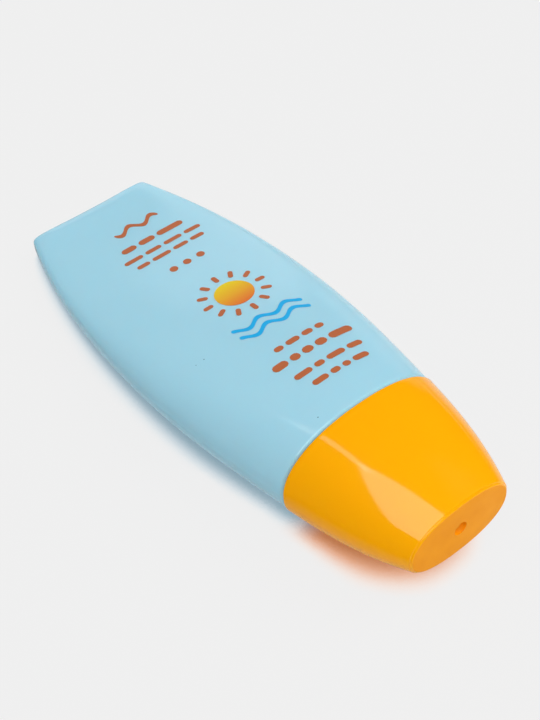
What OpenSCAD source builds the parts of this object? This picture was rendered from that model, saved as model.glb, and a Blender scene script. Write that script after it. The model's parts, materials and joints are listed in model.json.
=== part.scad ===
// Small oval sunscreen bottle with its screw cap closed, lying on its back.
// Each piece is drawn standing, with the bottle's axis on Z, its base at Z = 0 and its front
// towards -X. lay() then lays it down: +X runs from the base to the cap, +Z is up, and the
// bottle rests on its base edge and its belly. Millimetres.

/* [Height along the axis] */
// Length from the base edge to the flat end of the cap
bottle_l = 121.5; // [110:0.5:130]
// Height of the widest place above the base
belly_h = 53.2; // [40:0.2:62]
// Length of the cap from its rim to its flat end
cap_l = 26.8; // [25:0.1:30]
// Open line between the shoulder and the rim of the closed cap
seam_gap = 0.3; // [0.2:0.05:0.8]

/* [Width of the oval] */
// Width at the base edge
base_w = 31; // [26:0.2:36]
// Greatest width
belly_w = 46.8; // [41:0.2:50]
// Width at the seam
seam_w = 38.4; // [34:0.2:41]
// Width of the flat end of the cap
end_w = 24.2; // [21:0.2:28]
// Outward lean of the side at the base, mm per mm
base_flare = 0.345; // [0.1:0.005:0.5]
// Inward lean of the side at the seam, mm per mm
seam_lean = 0.165; // [0.1:0.005:0.3]
// Inward lean of the side at the end of the cap, mm per mm
end_lean = 0.45; // [0.3:0.01:0.6]

/* [Depth of the oval] */
// Depth of the base edge
base_d = 5.5; // [4.5:0.1:8]
// Depth at the seam
seam_d = 23.8; // [22:0.1:26]
// Depth of the flat end of the cap
end_d = 13.9; // [11:0.1:17]
// Outward lean of the face at the base, mm per mm
base_swell = 0.005; // [0:0.005:0.1]
// Outward lean of the face at the seam, mm per mm
seam_swell = 0.035; // [0:0.005:0.08]
// Inward lean of the face at the end of the cap, mm per mm
end_taper = 0.37; // [0.25:0.01:0.5]

/* [Squareness of the oval] */
// Power of the outline at the base: 2 is an ellipse, more is squarer
base_power = 5.6; // [2:0.1:7]
// Power of the outline at the seam
seam_power = 2.2; // [2:0.05:3]
// Power of the outline at the end of the cap
end_power = 2.3; // [2:0.05:3]

/* [Edges] */
// Rounding of the base edge
base_round = 0.6; // [0.4:0.1:1.2]
// Length over which each face rolls off to the middle of the base edge
nose_l = 3; // [1.5:0.5:6]
// Depth that the roll-off takes from each face there
nose_d = 1; // [0.2:0.1:1.3]
// Rounding of the shoulder edge at the seam
shoulder_round = 0.8; // [0.3:0.1:1.5]
// Rounding of the rim of the cap
rim_round = 0.3; // [0.1:0.05:0.5]
// Rounding of the edge round the flat end of the cap
end_round = 0.45; // [0.2:0.05:1]
// How far the rim of the cap stands out past the shoulder
cap_proud = 0.3; // [0:0.05:0.6]

/* [Bottle walls] */
// Side wall of the bottle
bottle_wall = 1; // [0.7:0.1:1.4]
// Wall across the base
base_wall = 1.6; // [1:0.1:3]
// Wall across the flat shoulder
shoulder_wall = 1.4; // [1:0.1:2.5]

/* [Neck] */
// Length of the neck above the shoulder
neck_l = 13.2; // [12:0.1:14]
// Radius of the neck between its threads
neck_r = 5.75; // [5.5:0.05:6]
// Radius of the hole through the neck
neck_bore_r = 4.5; // [4:0.05:4.7]
// Rounding where the neck meets the shoulder
neck_foot = 0.8; // [0.3:0.1:1.5]

/* [Thread] */
// Height that the cap climbs in one turn
thread_lead = 4; // [3.6:0.1:4.4]
// Number of threads that start side by side
thread_starts = 2; // [1:1:2]
// Height of a thread above the neck
thread_depth = 0.7; // [0.5:0.05:0.8]
// Thickness of a thread at its foot
thread_foot = 0.85; // [0.6:0.05:0.9]
// Thickness of a thread at its crest
thread_crest = 0.4; // [0.3:0.05:0.5]
// Turns of each thread
thread_turns = 1.25; // [0.8:0.05:1.4]
// Clearance between crest and wall
thread_clearance = 0.15; // [0.1:0.05:0.25]
// Distance from the rim of the neck down to the end of its threads
thread_from_rim = 1.2; // [0.8:0.1:2]

/* [Nozzle plug] */
// Radius of the flange on the rim of the neck
flange_r = 5.5; // [5:0.05:5.65]
// Thickness of the flange
flange_t = 1; // [0.6:0.1:1.3]
// Depth of the plug inside the neck
plug_l = 6; // [4:0.5:8]
// Wall of the plug's skirt
plug_wall = 0.9; // [0.6:0.05:1.2]
// Radius of the spout at its foot
spout_foot_r = 2.7; // [2.3:0.05:2.8]
// Radius of the spout at its tip
spout_tip_r = 1.8; // [1.6:0.05:2]
// Height of the spout above the flange
spout_l = 4.2; // [3.5:0.1:4.6]
// Radius of the hole that the lotion comes out of
orifice_r = 0.9; // [0.7:0.05:1]
// Clearance of a pressed piece in its seat
press_clearance = 0.02; // [0.01:0.005:0.05]

/* [Liner] */
// Thickness of the sealing washer
liner_t = 1; // [0.6:0.1:1.2]
// Radius of the hole in the sealing washer
liner_bore_r = 3.1; // [3:0.05:3.5]
// Clearance round and above the washer
liner_clearance = 0.1; // [0.05:0.05:0.2]

/* [Inner cap] */
// Wall of the threaded skirt
skirt_wall = 1; // [0.8:0.05:1.2]
// Thickness of the plate above the washer
plate_t = 1.2; // [0.8:0.1:1.5]
// Wall of the tower round the spout
tower_wall = 1; // [0.8:0.05:1.2]
// Space between the spout and the tower
spout_clearance = 0.8; // [0.5:0.05:1]
// Clearance of the sealing pin in the hole of the spout
pin_clearance = 0.1; // [0.05:0.05:0.2]
// Depth of the sealing pin in the spout
pin_depth = 2; // [1:0.1:3]
// Height of the skirt's rim above the shoulder
skirt_lift = 1.6; // [1:0.1:2.5]
// Number of keys that stop the inner cap from turning in the outer one
key_count = 8; // [4:1:12]
// Width of a key
key_w = 1.2; // [0.8:0.1:1.6]
// Height of a key
key_h = 0.5; // [0.3:0.05:0.6]

/* [Outer cap] */
// Side wall of the outer cap
cap_wall = 1.3; // [1:0.1:1.5]
// Wall across the end of the outer cap
end_wall = 1.6; // [1.4:0.1:2]
// Wall of the socket that holds the inner cap
socket_wall = 1; // [0.8:0.1:1.2]
// Height of the socket's rim above the skirt's rim
socket_lift = 0.3; // [0.2:0.1:1]
// Thickness of the ribs
rib_t = 1; // [0.8:0.1:1.4]
// Length of the side ribs, down from the flat end
rib_l = 11; // [8:0.5:14]
// Radius of the moulding recess in the flat end
recess_r = 1.5; // [1:0.1:2]
// Depth of the moulding recess
recess_depth = 1; // [0.5:0.1:1.2]
// Radius of the moulding stub in the recess
stub_r = 0.45; // [0.3:0.05:0.6]
// Height of the moulding stub
stub_h = 0.45; // [0.2:0.05:0.7]

/* [Hidden] */

// Facets
outline_sides = 48;
cavity_sides = 40;
round_sides = 96;
body_steps = 21;
nose_steps = 3;
cavity_steps = 14;
cap_steps = 11;
arc_steps = 4;
thread_steps = 30;
// Overlap of the solids that are joined into one piece
join = 0.3;

// Heights of the seam and of what stands above it
seam_h = bottle_l - cap_l;
shoulder_h = seam_h - seam_gap;
neck_top = shoulder_h + neck_l;
thread_top = neck_top - thread_from_rim;
thread_rise = thread_lead * thread_turns;
thread_low = thread_top - thread_rise - thread_foot / 2;
flange_top = neck_top + flange_t;
spout_top = flange_top + spout_l;
liner_low = flange_top + liner_clearance;
plate_low = liner_low + liner_t + liner_clearance;
plate_top = plate_low + plate_t;
tower_ceiling = spout_top + spout_clearance;
tower_top = tower_ceiling + tower_wall;
skirt_low = shoulder_h + skirt_lift;

// Radii of the threaded fit and of the pieces around it
thread_r = neck_r + thread_depth;
skirt_bore_r = thread_r + thread_clearance;
skirt_r = skirt_bore_r + skirt_wall;
liner_r = skirt_bore_r - liner_clearance;
tower_bore_r = spout_foot_r + spout_clearance;
tower_r = tower_bore_r + tower_wall;
socket_bore_r = skirt_r + press_clearance;
socket_r = socket_bore_r + socket_wall;
plug_r = neck_bore_r - press_clearance;
pin_r = orifice_r - pin_clearance;

// One cubic from (h0, r0) with slope s0 to (h1, r1) with slope s1
function bend(h, h0, r0, s0, h1, r1, s1) =
    let (d = h1 - h0, u = (h - h0) / d)
    (2 * u^3 - 3 * u^2 + 1) * r0 + (u^3 - 2 * u^2 + u) * d * s0
    + (3 * u^2 - 2 * u^3) * r1 + (u^3 - u^2) * d * s1;

// Half the width and half the depth of the outline at height h
function half_w(h) =
    h < belly_h ? bend(h, 0, base_w / 2, base_flare, belly_h, belly_w / 2, 0)
    : h < seam_h ? bend(h, belly_h, belly_w / 2, 0, seam_h, seam_w / 2, -seam_lean)
    : bend(h, seam_h, seam_w / 2, -seam_lean, bottle_l, end_w / 2, -end_lean);
function half_d(h) =
    h < seam_h ? bend(h, 0, base_d / 2, base_swell, seam_h, seam_d / 2, seam_swell)
    : bend(h, seam_h, seam_d / 2, seam_swell, bottle_l, end_d / 2, -end_taper);

// Power of the oval at height h, from a straight run of its inverse
function oval_power(h) =
    h < seam_h ? 1 / (1 / base_power + (1 / seam_power - 1 / base_power) * h / seam_h)
    : 1 / (1 / seam_power + (1 / end_power - 1 / seam_power) * (h - seam_h) / cap_l);
function signed_power(v, p) = sign(v) * pow(abs(v), p);

// Depth that the roll-off takes from the middle of each face at height h, none at its two ends
function nose(h) = h < nose_l ? nose_d * (1 - sqrt(1 - pow((nose_l - h) / nose_l, 2))) : 0;

// Oval ring at height h, moved inwards by inset
function ring(h, inset, sides) =
    let (p = 2 / oval_power(h), a = half_d(h) - inset, b = half_w(h) - inset)
    [for (i = [0:sides - 1])
        let (t = 360 * i / sides, c = signed_power(cos(t), p), s = signed_power(sin(t), p))
        [(a - nose(h) * (1 - s * s)) * c, b * s, h]];

// Solid through a stack of rings with the same number of points, lowest ring first
module loft(rings) {
    sides = len(rings[0]);
    last = len(rings) - 1;
    points = [for (r = rings) each r];
    low = [for (i = [0:sides - 1]) i];
    high = [for (i = [sides - 1:-1:0]) last * sides + i];
    walls = [for (k = [0:last - 1], i = [0:sides - 1])
        let (j = (i + 1) % sides, a = k * sides, b = a + sides)
        each [[a + i, b + i, b + j], [a + i, b + j, a + j]]];
    polyhedron(points = points, faces = concat([low], [high], walls), convexity = 6);
}

// [height, inset] pairs: a round lower edge, finer steps up to roll, straight steps, a round upper edge
function stations(h0, h1, low_round, high_round, steps, proud0 = 0, proud1 = 0, roll = 0) =
    let (flat0 = h0 + low_round, flat1 = h1 - high_round, from = max(flat0, roll))
    concat(
        [for (i = [0:arc_steps - 1])
            let (t = 90 * i / arc_steps)
            [flat0 - low_round * cos(t), low_round * (1 - sin(t)) - proud0]],
        [if (from > flat0) for (i = [0:nose_steps - 1])
            [flat0 + (from - flat0) * i / nose_steps, -proud0]],
        [for (i = [0:steps])
            let (u = i / steps)
            [from + (flat1 - from) * u, -proud0 - (proud1 - proud0) * u]],
        [for (i = [arc_steps - 1:-1:0])
            let (t = 90 * i / arc_steps)
            [flat1 + high_round * cos(t), high_round * (1 - sin(t)) - proud1]]);

body_stations = stations(0, shoulder_h, base_round, shoulder_round, body_steps, roll = nose_l);
cap_stations = stations(seam_h, bottle_l, rim_round, end_round, cap_steps, cap_proud, 0);

// [depth, height] of the back at each station
function back_of(list) = [for (s = list) [max([for (p = ring(s[0], s[1], outline_sides)) p[0]]), s[0]]];

// The tilt at which the back rests on the base edge and on the belly
body_back = back_of(body_stations);
base_back = [for (q = body_back) if (q[1] < belly_h / 4) q];
rest_tilt = atan(max([for (q = body_back)
    if (q[1] > belly_h / 2) min([for (b = base_back) (q[0] - b[0]) / (q[1] - b[1])])]));
back = concat(body_back, back_of(cap_stations));
lowest = min([for (p = back) p[1] * sin(rest_tilt) - p[0] * cos(rest_tilt)]);
rearmost = min([for (p = back) p[1] * cos(rest_tilt) - p[0] * sin(rest_tilt)]);
foremost = max([for (p = back) p[1] * cos(rest_tilt) + p[0] * sin(rest_tilt)]);

// Lays a standing piece down on Z = 0 with the middle of the bottle over the origin
module lay() {
    translate([-(rearmost + foremost) / 2, 0, -lowest]) rotate([0, 90 - rest_tilt, 0]) children();
}

// Tube between two heights
module tube(h0, h1, outer_r, inner_r) {
    translate([0, 0, h0]) difference() {
        cylinder(h = h1 - h0, r = outer_r, $fn = round_sides);
        translate([0, 0, -1]) cylinder(h = h1 - h0 + 2, r = inner_r, $fn = round_sides);
    }
}

// Helical ridge from height low, on the radius foot_r, pointing out (way = 1) or in (way = -1)
module thread_ridge(low, turns, foot_r, way, start_angle) {
    steps = ceil(thread_steps * turns);
    rings = [for (i = [0:steps])
        let (
            u = i / steps,
            t = start_angle + 360 * turns * u,
            z = low + thread_lead * turns * u,
            fade = min(1, 5 * u, 5 * (1 - u)),
            tip = foot_r + way * max(0.05, thread_depth * fade),
            root = foot_r - way * join,
            spread = thread_foot / 2 + join * (thread_foot - thread_crest) / (2 * thread_depth),
            section = [[root, -spread], [tip, -thread_crest / 2], [tip, thread_crest / 2], [root, spread]])
        [for (q = section) [q[0] * cos(t), q[0] * sin(t), z + q[1]]]];
    points = [for (r = rings) each r];
    sides = way > 0 ? [3, 2, 1, 0] : [0, 1, 2, 3];
    start_face = [for (i = [0:3]) sides[i]];
    end_face = [for (i = [3:-1:0]) steps * 4 + sides[i]];
    walls = [for (k = [0:steps - 1], i = [0:3])
        let (a = 4 * k + sides[i], b = 4 * k + sides[(i + 1) % 4])
        each [[a, a + 4, b + 4], [a, b + 4, b]]];
    polyhedron(points = points, faces = concat([start_face], [end_face], walls), convexity = 8);
}

module threads(low, turns, foot_r, way, start_angle) {
    for (k = [0:thread_starts - 1])
        thread_ridge(low, turns, foot_r, way, start_angle + 360 * k / thread_starts);
}

// Blown bottle: thin oval base, belly, flat shoulder and threaded neck
module bottle_shell() {
    color("#a3d4e5") lay() difference() {
        union() {
            loft([for (s = body_stations) ring(s[0], s[1], outline_sides)]);
            translate([0, 0, shoulder_h - join]) cylinder(h = neck_l + join, r = neck_r, $fn = round_sides);
            translate([0, 0, shoulder_h - join])
                cylinder(h = neck_foot + join, r1 = neck_r + neck_foot + join, r2 = neck_r, $fn = round_sides);
            threads(thread_low, thread_turns, neck_r, 1, 0);
        }
        chamber_top = shoulder_h - shoulder_wall;
        loft([for (i = [0:cavity_steps])
            let (h = base_wall + (chamber_top - base_wall) * i / cavity_steps)
            ring(h, bottle_wall, cavity_sides)]);
        translate([0, 0, chamber_top - 1])
            cylinder(h = neck_top - chamber_top + 2, r = neck_bore_r, $fn = round_sides);
    }
}

// Plug pressed into the neck, with the spout that the lotion comes out of
module nozzle_plug() {
    color("#f2f3f0") lay() difference() {
        union() {
            tube(neck_top - plug_l, neck_top, plug_r, plug_r - plug_wall);
            translate([0, 0, neck_top]) cylinder(h = flange_t, r = flange_r, $fn = round_sides);
            translate([0, 0, flange_top])
                cylinder(h = spout_l, r1 = spout_foot_r, r2 = spout_tip_r, $fn = round_sides);
        }
        translate([0, 0, neck_top - 1]) cylinder(h = flange_t + spout_l + 2, r = orifice_r, $fn = round_sides);
    }
}

// Foam washer between the flange of the plug and the plate of the inner cap
module cap_liner() {
    color("#f7f7f4") lay() tube(liner_low, liner_low + liner_t, liner_r, liner_bore_r);
}

// Keys round the skirt, each bigger all round by grow
module keys(grow) {
    for (k = [0:key_count - 1])
        rotate(360 * (k + 0.5) / key_count)
            translate([skirt_r - join, -key_w / 2 - grow, plate_low])
                cube([join + key_h + grow, key_w + 2 * grow, plate_t]);
}

// Threaded inner cap with the tower over the spout and the pin that closes its hole
module inner_cap() {
    color("#f4f4f1") lay() {
        difference() {
            union() {
                translate([0, 0, skirt_low]) cylinder(h = plate_top - skirt_low, r = skirt_r, $fn = round_sides);
                translate([0, 0, plate_low]) cylinder(h = tower_top - plate_low, r = tower_r, $fn = round_sides);
                keys(0);
            }
            translate([0, 0, skirt_low - 1])
                cylinder(h = plate_low - skirt_low + 1, r = skirt_bore_r, $fn = round_sides);
            translate([0, 0, plate_low - 1])
                cylinder(h = tower_ceiling - plate_low + 1, r = tower_bore_r, $fn = round_sides);
        }
        translate([0, 0, spout_top - pin_depth])
            cylinder(h = pin_depth + spout_clearance + join, r = pin_r, $fn = round_sides);
        threads(thread_low + thread_lead / thread_starts / 2, thread_turns, skirt_bore_r, -1, 0);
    }
}

// Oval outer cap: shell, socket for the inner cap, ribs and the moulding recess in its end
module outer_cap() {
    ceiling = bottle_l - end_wall;
    color("#ffaf00") lay() {
        difference() {
            loft([for (s = cap_stations) ring(s[0], s[1], outline_sides)]);
            difference() {
                loft([for (i = [0:cap_steps])
                    let (h = i == 0 ? seam_h - 1 : seam_h + (ceiling - seam_h) * i / cap_steps)
                    ring(h, cap_wall - cap_proud * (bottle_l - h) / cap_l, cavity_sides)]);
                cap_inside();
            }
            translate([0, 0, bottle_l - recess_depth])
                cylinder(h = recess_depth + 1, r = recess_r, $fn = round_sides);
        }
        translate([0, 0, bottle_l - recess_depth - join])
            cylinder(h = stub_h + join, r = stub_r, $fn = round_sides);
    }
}

// What stays inside the shell of the outer cap: the socket and the ribs, less the room for the inner cap
module cap_inside() {
    socket_low = skirt_low + socket_lift;
    difference() {
        union() {
            translate([0, 0, socket_low]) cylinder(h = bottle_l - socket_low, r = socket_r, $fn = round_sides);
            translate([-rib_t / 2, -seam_w / 2, bottle_l - rib_l]) cube([rib_t, seam_w, rib_l]);
        }
        translate([0, 0, socket_low - 1])
            cylinder(h = plate_top - socket_low + 1, r = socket_bore_r, $fn = round_sides);
        keys(2 * press_clearance);
        difference() {
            translate([0, 0, plate_top - join])
                cylinder(h = bottle_l - plate_top, r = socket_bore_r, $fn = round_sides);
            for (a = [0, 60, 120])
                rotate(a) translate([-rib_t / 2, -skirt_r - 1, plate_top]) cube([rib_t, 2 * skirt_r + 2, cap_l]);
        }
        translate([0, 0, plate_top - 1])
            cylinder(h = tower_top - plate_top + 1 + liner_clearance, r = tower_r + liner_clearance, $fn = round_sides);
    }
}

bottle_shell();
nozzle_plug();
cap_liner();
inner_cap();
outer_cap();
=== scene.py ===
# %% [markdown]
# # A small oval lotion bottle, lying on its back
#
# The bottle is blown from pale blue polyethylene and closed by an oval orange screw cap. The
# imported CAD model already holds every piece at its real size, so this lesson starts from it as a
# fixed frame. Blender then adds what a CAD solid lacks: smooth skins, printed ink, moulding
# marks, plastics that look like plastics, and soft studio light.

# %% Load the frame
import json
import math
import random

import bmesh
import bpy
import numpy as np
from mathutils import Matrix, Vector


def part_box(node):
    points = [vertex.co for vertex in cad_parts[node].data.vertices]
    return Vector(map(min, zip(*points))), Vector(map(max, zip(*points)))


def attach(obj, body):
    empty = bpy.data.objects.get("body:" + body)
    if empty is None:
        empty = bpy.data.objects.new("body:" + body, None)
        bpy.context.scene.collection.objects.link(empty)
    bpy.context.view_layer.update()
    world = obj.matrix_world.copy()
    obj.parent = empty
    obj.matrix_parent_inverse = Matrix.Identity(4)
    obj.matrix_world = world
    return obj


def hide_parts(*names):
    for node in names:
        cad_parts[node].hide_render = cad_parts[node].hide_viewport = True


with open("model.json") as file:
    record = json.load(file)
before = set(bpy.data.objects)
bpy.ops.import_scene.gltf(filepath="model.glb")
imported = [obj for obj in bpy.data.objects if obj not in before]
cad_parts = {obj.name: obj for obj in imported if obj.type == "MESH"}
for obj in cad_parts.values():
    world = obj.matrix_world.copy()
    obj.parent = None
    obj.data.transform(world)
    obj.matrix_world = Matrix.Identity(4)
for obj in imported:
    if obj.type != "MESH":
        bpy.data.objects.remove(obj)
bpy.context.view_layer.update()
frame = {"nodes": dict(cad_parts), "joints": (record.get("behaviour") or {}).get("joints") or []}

MM = 0.001

# %% [markdown]
# ## Measures
#
# The outline of the bottle follows a few driving sizes, the same ones that the CAD source uses.
# Heights run along the bottle's own axis from the base. The sizes could be measured on the CAD
# meshes instead, but a skin that follows named sizes can be read, checked and changed.

# %% Driving sizes
LENGTH = 121.5 * MM
CAP_LENGTH = 26.8 * MM
SEAM_GAP = 0.3 * MM
SEAM = LENGTH - CAP_LENGTH
SHOULDER = SEAM - SEAM_GAP
BELLY = 53.2 * MM

BASE_WIDTH, BELLY_WIDTH, SEAM_WIDTH, END_WIDTH = 31.0 * MM, 46.8 * MM, 38.4 * MM, 24.2 * MM
BASE_DEPTH, SEAM_DEPTH, END_DEPTH = 5.5 * MM, 23.8 * MM, 13.9 * MM
BASE_FLARE, SEAM_LEAN, END_LEAN = 0.345, 0.165, 0.45
BASE_SWELL, SEAM_SWELL, END_TAPER = 0.005, 0.035, 0.37
BASE_POWER, SEAM_POWER, END_POWER = 5.6, 2.2, 2.3

BASE_ROUND, SHOULDER_ROUND = 0.6 * MM, 0.8 * MM
NOSE_LENGTH, NOSE_DEPTH = 3.0 * MM, 1.0 * MM
RIM_ROUND, END_ROUND = 0.3 * MM, 0.45 * MM
CAP_PROUD = 0.3 * MM
BOTTLE_WALL, BASE_WALL, SHOULDER_WALL = 1.0 * MM, 1.6 * MM, 1.4 * MM
CAP_WALL, END_WALL = 1.3 * MM, 1.6 * MM
print("bottle of", round(LENGTH / MM, 1), "mm, of which the cap takes", round(CAP_LENGTH / MM, 1))

# %% [markdown]
# ## Drawn standing, then laid down
#
# Every piece is drawn standing on its base, where widths, depths and heights are plain
# coordinates, and one matrix then lays it down. How the bottle lies could be typed in as an
# angle. It is read from the frame, which can't go out of step with the CAD model: the cap's
# screw joint turns about the bottle's axis, and its anchor is the middle of the seam.

# %% The lie of the axis
turn_joint = next(j for j in frame["joints"] if j["type"] == "hinge")
AXIS = Vector(turn_joint["axis"]).normalized()
WIDE = Vector((0, 1, 0))
FRONT = AXIS.cross(WIDE)
BASE_POINT = Vector(turn_joint["pos_m"]) - AXIS * SEAM
LAY_DOWN = Matrix((
    (WIDE.x, FRONT.x, AXIS.x, BASE_POINT.x),
    (WIDE.y, FRONT.y, AXIS.y, BASE_POINT.y),
    (WIDE.z, FRONT.z, AXIS.z, BASE_POINT.z),
    (0, 0, 0, 1),
))
print("rest tilt in degrees:", round(math.degrees(math.atan2(AXIS.z, AXIS.x)), 2))
print("front points to", [round(v, 3) for v in FRONT])

# %% [markdown]
# ## The outline as a formula
#
# The bottle is a barrel that is thin at the base and deep at the cap. It could be drawn by hand
# as a curve with many points. A formula needs only the driving sizes: width and depth are smooth
# cubics along the height, and each cross-section is a superellipse, an oval whose power says how
# square it is. The base is squarish, the seam almost a plain ellipse.

# %% Width, depth and squareness at a height
def bend(h, h0, r0, s0, h1, r1, s1):
    """A cubic from r0 at height h0 to r1 at h1, with slopes s0 and s1 there."""
    d = h1 - h0
    u = (h - h0) / d
    return ((2 * u**3 - 3 * u**2 + 1) * r0 + (u**3 - 2 * u**2 + u) * d * s0
            + (3 * u**2 - 2 * u**3) * r1 + (u**3 - u**2) * d * s1)


def half_width(h):
    if h < BELLY:
        return bend(h, 0, BASE_WIDTH / 2, BASE_FLARE, BELLY, BELLY_WIDTH / 2, 0)
    if h < SEAM:
        return bend(h, BELLY, BELLY_WIDTH / 2, 0, SEAM, SEAM_WIDTH / 2, -SEAM_LEAN)
    return bend(h, SEAM, SEAM_WIDTH / 2, -SEAM_LEAN, LENGTH, END_WIDTH / 2, -END_LEAN)


def half_depth(h):
    if h < SEAM:
        return bend(h, 0, BASE_DEPTH / 2, BASE_SWELL, SEAM, SEAM_DEPTH / 2, SEAM_SWELL)
    return bend(h, SEAM, SEAM_DEPTH / 2, SEAM_SWELL, LENGTH, END_DEPTH / 2, -END_TAPER)


def oval_power(h):
    if h < SEAM:
        return 1 / (1 / BASE_POWER + (1 / SEAM_POWER - 1 / BASE_POWER) * max(h, 0) / SEAM)
    return 1 / (1 / SEAM_POWER + (1 / END_POWER - 1 / SEAM_POWER) * (h - SEAM) / CAP_LENGTH)


def nose(h):
    """Depth that the roll-off at the base takes from the middle of each face."""
    if h >= NOSE_LENGTH:
        return 0.0
    return NOSE_DEPTH * (1 - math.sqrt(1 - ((NOSE_LENGTH - h) / NOSE_LENGTH) ** 2))


print("widest section in mm:", round(2 * half_width(BELLY) / MM, 1), "x",
      round(2 * half_depth(BELLY) / MM, 1))

# %% [markdown]
# ## Even points
#
# A superellipse that is drawn by its angle crowds its points at the corners, and a gloss then
# runs over uneven faces with ripples. Here each section is first drawn very finely, and AROUND
# points are then spread along it at equal steps. A round section has as many, so that an oval
# ring can be joined to a round one.

# %% Even points round a section
AROUND = 224
FINE = 4096


def oval(h, inset=0.0):
    """Width and depth of AROUND points spaced evenly round the section at height h."""
    t = np.linspace(0, 2 * math.pi, FINE + 1)
    p = 2 / oval_power(h)
    c, s = np.cos(t), np.sin(t)
    across = np.sign(c) * np.abs(c) ** p
    w = (half_width(h) - inset) * across
    d = (half_depth(h) - inset - nose(h) * (1 - across**2)) * np.sign(s) * np.abs(s) ** p
    run = np.concatenate([[0], np.cumsum(np.hypot(np.diff(w), np.diff(d)))])
    marks = np.linspace(0, run[-1], AROUND, endpoint=False)
    return list(zip(np.interp(marks, run, w), np.interp(marks, run, d)))


def disc(radius):
    """The same number of points round a circle."""
    turns = [2 * math.pi * i / AROUND for i in range(AROUND)]
    return [(radius * math.cos(t), radius * math.sin(t)) for t in turns]


seam_ring = oval(SEAM)
step = math.dist(seam_ring[0], seam_ring[1])
print(AROUND, "points round the seam lie", round(step / MM, 2), "mm apart")

# %% [markdown]
# ## Skins drawn ring by ring
#
# The bottle and the cap are thin walls. Both could be lofted, revolved or sculpted. An oval that
# changes all along its height is no revolve, so each skin starts as one circle whose edge loop
# is extruded ring after ring. Every new ring is moved to its own height and section. The first
# and the last ring are filled, and the result is one closed wall that runs over the outside,
# round the mouth and along the inside.

# %% Extrude a stack of rings
def edges_of(verts):
    """The edges at some vertices, each once, in a steady order."""
    return list(dict.fromkeys(e for v in verts for e in v.link_edges))


def next_ring(bm, edges):
    """Extrudes an edge loop and returns the new loop's vertices and edges."""
    made = bmesh.ops.extrude_edge_only(bm, edges=edges)["geom"]
    verts = [g for g in made if isinstance(g, bmesh.types.BMVert)]
    ring = set(verts)
    loop = [g for g in made if isinstance(g, bmesh.types.BMEdge)
            and g.verts[0] in ring and g.verts[1] in ring]
    return verts, loop


def skin_from_rings(bm, rings):
    """Draws a closed wall into bm through (section, height) pairs."""
    place = bm.verts.layers.int.new("place")
    verts = bmesh.ops.create_circle(bm, segments=AROUND, radius=1)["verts"]
    for i, v in enumerate(verts):
        v[place] = i
    edges = edges_of(verts)
    for k, (section, height) in enumerate(rings):
        if k == 1:
            bmesh.ops.edgeloop_fill(bm, edges=edges)
        if k > 0:
            verts, edges = next_ring(bm, edges)
        for v in verts:
            w, d = section[v[place]]
            v.co = (w, d, height)
    bmesh.ops.edgeloop_fill(bm, edges=edges)
    bmesh.ops.recalc_face_normals(bm, faces=bm.faces)


def arc(radius, steps, rising=True):
    """(height, inset) steps round a quarter circle; rising starts on the flat end."""
    turns = [math.pi / 2 * i / steps for i in range(steps + 1)]
    steps_up = [(radius * (1 - math.cos(t)), radius * (1 - math.sin(t))) for t in turns]
    return steps_up if rising else [(-h, i) for h, i in reversed(steps_up)]


print("a round edge of", round(BASE_ROUND / MM, 1), "mm in 3 steps, in mm:",
      [(round(h / MM, 2), round(i / MM, 2)) for h, i in arc(BASE_ROUND, 3)])

# %% [markdown]
# ## From a mesh to a piece
#
# A finished mesh is laid down and put into an object of its own that stays at the origin, so its
# place is in its mesh, as with the CAD nodes. Smooth shading alone would blur the rims, so faces
# that meet at a steep angle keep a sharp edge. Riding on a body lets the piece move with it.

# %% Turn a mesh into a named piece
def piece(name, bm, body, smooth_angle=40):
    """Lays a standing mesh down, closes it as an object and lets it ride on a body."""
    bmesh.ops.transform(bm, matrix=LAY_DOWN, verts=bm.verts)
    mesh = bpy.data.meshes.new(name)
    bm.to_mesh(mesh)
    bm.free()
    obj = bpy.data.objects.new(name, mesh)
    bpy.context.scene.collection.objects.link(obj)
    mesh.shade_smooth()
    mesh.set_sharp_from_angle(angle=math.radians(smooth_angle))
    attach(obj, body)
    print(name, "has", len(mesh.polygons), "faces and rides on", body)
    return obj


# %% [markdown]
# ## The bottle
#
# A blown bottle is one skin: a narrow straight base edge, a barrel-shaped body that deepens
# towards the cap, a flat shoulder that the oval cap can turn over, and a round neck. A Solidify
# modifier could give it a wall, but the neck is thicker than the body, so the inside is drawn as
# rings too. The two mould halves meet along the sides, which leaves a hair-fine parting line.

# %% Sizes of the neck
plug_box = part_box("nozzle_plug")
NECK_LENGTH = 13.2 * MM
NECK_TOP = SHOULDER + NECK_LENGTH
NECK_RADIUS, NECK_BORE, NECK_FOOT = 5.75 * MM, 4.5 * MM, 0.8 * MM
NECK_EDGE = 0.2 * MM
print("neck top in mm above the base:", round(NECK_TOP / MM, 2))
print("the spout plug is", round((plug_box[1][1] - plug_box[0][1]) / MM, 1), "mm across")

# %% Bottle skin
PARTING_RISE = 0.05 * MM
SHOULDER_FLAT = 1.2 * MM
EDGE_STEPS, FOOT_STEPS = 8, 5
NOSE_RINGS, BODY_RINGS, INSIDE_RINGS = 9, 90, 40


def with_parting_line(section):
    """Lifts the two side points by a hair where the mould halves meet."""
    lifted = list(section)
    for i in (0, AROUND // 2):
        w, d = lifted[i]
        lifted[i] = (w + math.copysign(PARTING_RISE, w), d)
    return lifted


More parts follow.
